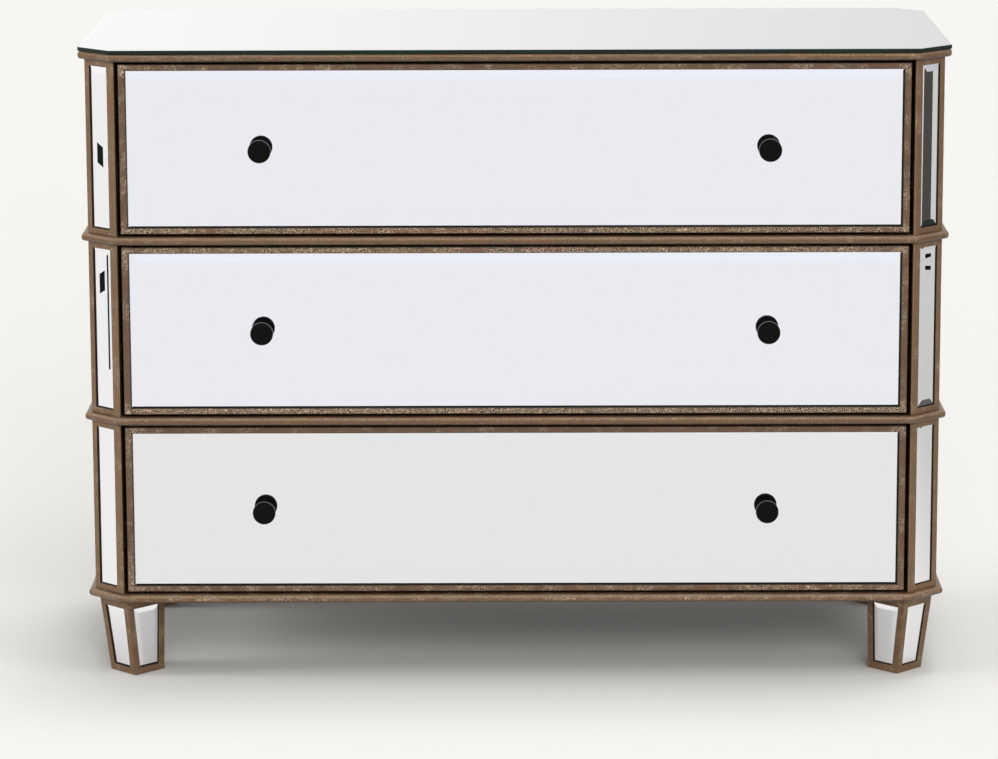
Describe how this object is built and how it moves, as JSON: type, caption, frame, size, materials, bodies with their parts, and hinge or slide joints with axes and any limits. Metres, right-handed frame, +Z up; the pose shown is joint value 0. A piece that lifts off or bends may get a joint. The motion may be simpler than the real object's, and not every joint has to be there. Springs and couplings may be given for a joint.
{
  "type": "mirrored chest of drawers",
  "caption": "Flat-fronted mirrored chest of drawers with canted corners, crackled bronze frames and mouldings, a glass top, black knobs and tapered mirrored feet.",
  "frame": {"origin": "middle of the footprint's box on the floor, knobs included", "axes": "+Z up, +X to the right seen from the front, and the drawers open towards -Y"},
  "size_m": [1.1, 0.476, 0.814],
  "materials": {
    "bronze_crackle": "antique bronze paint with a fine pale crackle, satin",
    "mirror_glass": "silvered glass with ground bevels",
    "carcass_board": "dark brown stained board",
    "back_board": "dark brown thin board",
    "drawer_wood": "clear lacquered light wood",
    "drawer_ply": "light plywood",
    "zinc_steel": "zinc plated",
    "black_lacquer": "gloss black"
  },
  "bodies": {
    "carcass": {"glass_top": "mirror_glass", "top_board": "carcass_board", "upper_divider": "carcass_board", "lower_divider": "carcass_board", "bottom_board": "carcass_board", "back_panel": "back_board", "back_panel_screws": "zinc_steel", "top_moulding": "bronze_crackle", "upper_waist_moulding": "bronze_crackle", "lower_waist_moulding": "bronze_crackle", "base_moulding": "bronze_crackle", "carcass_runners": "zinc_steel", "foot_bolts": "zinc_steel", "side_panel_left": "carcass_board", "side_frames_left": "bronze_crackle", "side_mirrors_left": "mirror_glass", "side_panel_right": "carcass_board", "side_frames_right": "bronze_crackle", "side_mirrors_right": "mirror_glass", "foot_mirrors_front": "mirror_glass", "corner_post_front_left": "bronze_crackle", "corner_mirrors_front_left": "mirror_glass", "foot_front_left": "bronze_crackle", "corner_post_front_right": "bronze_crackle", "corner_mirrors_front_right": "mirror_glass", "foot_front_right": "bronze_crackle", "foot_mirrors_rear": "mirror_glass", "corner_post_rear_left": "bronze_crackle", "corner_mirrors_rear_left": "mirror_glass", "foot_rear_left": "bronze_crackle", "corner_post_rear_right": "bronze_crackle", "corner_mirrors_rear_right": "mirror_glass", "foot_rear_right": "bronze_crackle"},
    "drawer_bottom": {"drawer_bottom_front_frame": "bronze_crackle", "drawer_bottom_mirror": "mirror_glass", "drawer_bottom_front_board": "carcass_board", "drawer_bottom_sides": "drawer_wood", "drawer_bottom_back": "drawer_wood", "drawer_bottom_bottom": "drawer_ply", "drawer_bottom_runners": "zinc_steel", "drawer_bottom_knobs": "black_lacquer", "drawer_bottom_knob_screws": "zinc_steel"},
    "drawer_middle": {"drawer_middle_front_frame": "bronze_crackle", "drawer_middle_mirror": "mirror_glass", "drawer_middle_front_board": "carcass_board", "drawer_middle_sides": "drawer_wood", "drawer_middle_back": "drawer_wood", "drawer_middle_bottom": "drawer_ply", "drawer_middle_runners": "zinc_steel", "drawer_middle_knobs": "black_lacquer", "drawer_middle_knob_screws": "zinc_steel"},
    "drawer_top": {"drawer_top_front_frame": "bronze_crackle", "drawer_top_mirror": "mirror_glass", "drawer_top_front_board": "carcass_board", "drawer_top_sides": "drawer_wood", "drawer_top_back": "drawer_wood", "drawer_top_bottom": "drawer_ply", "drawer_top_runners": "zinc_steel", "drawer_top_knobs": "black_lacquer", "drawer_top_knob_screws": "zinc_steel"}
  },
  "joints": [
    {"name": "drawer_bottom_slide", "type": "slide", "parent": "carcass", "child": "drawer_bottom", "axis": [0, -1, 0], "range_m": [0, 0.3]},
    {"name": "drawer_middle_slide", "type": "slide", "parent": "carcass", "child": "drawer_middle", "axis": [0, -1, 0], "range_m": [0, 0.3]},
    {"name": "drawer_top_slide", "type": "slide", "parent": "carcass", "child": "drawer_top", "axis": [0, -1, 0], "range_m": [0, 0.3]}
  ]
}
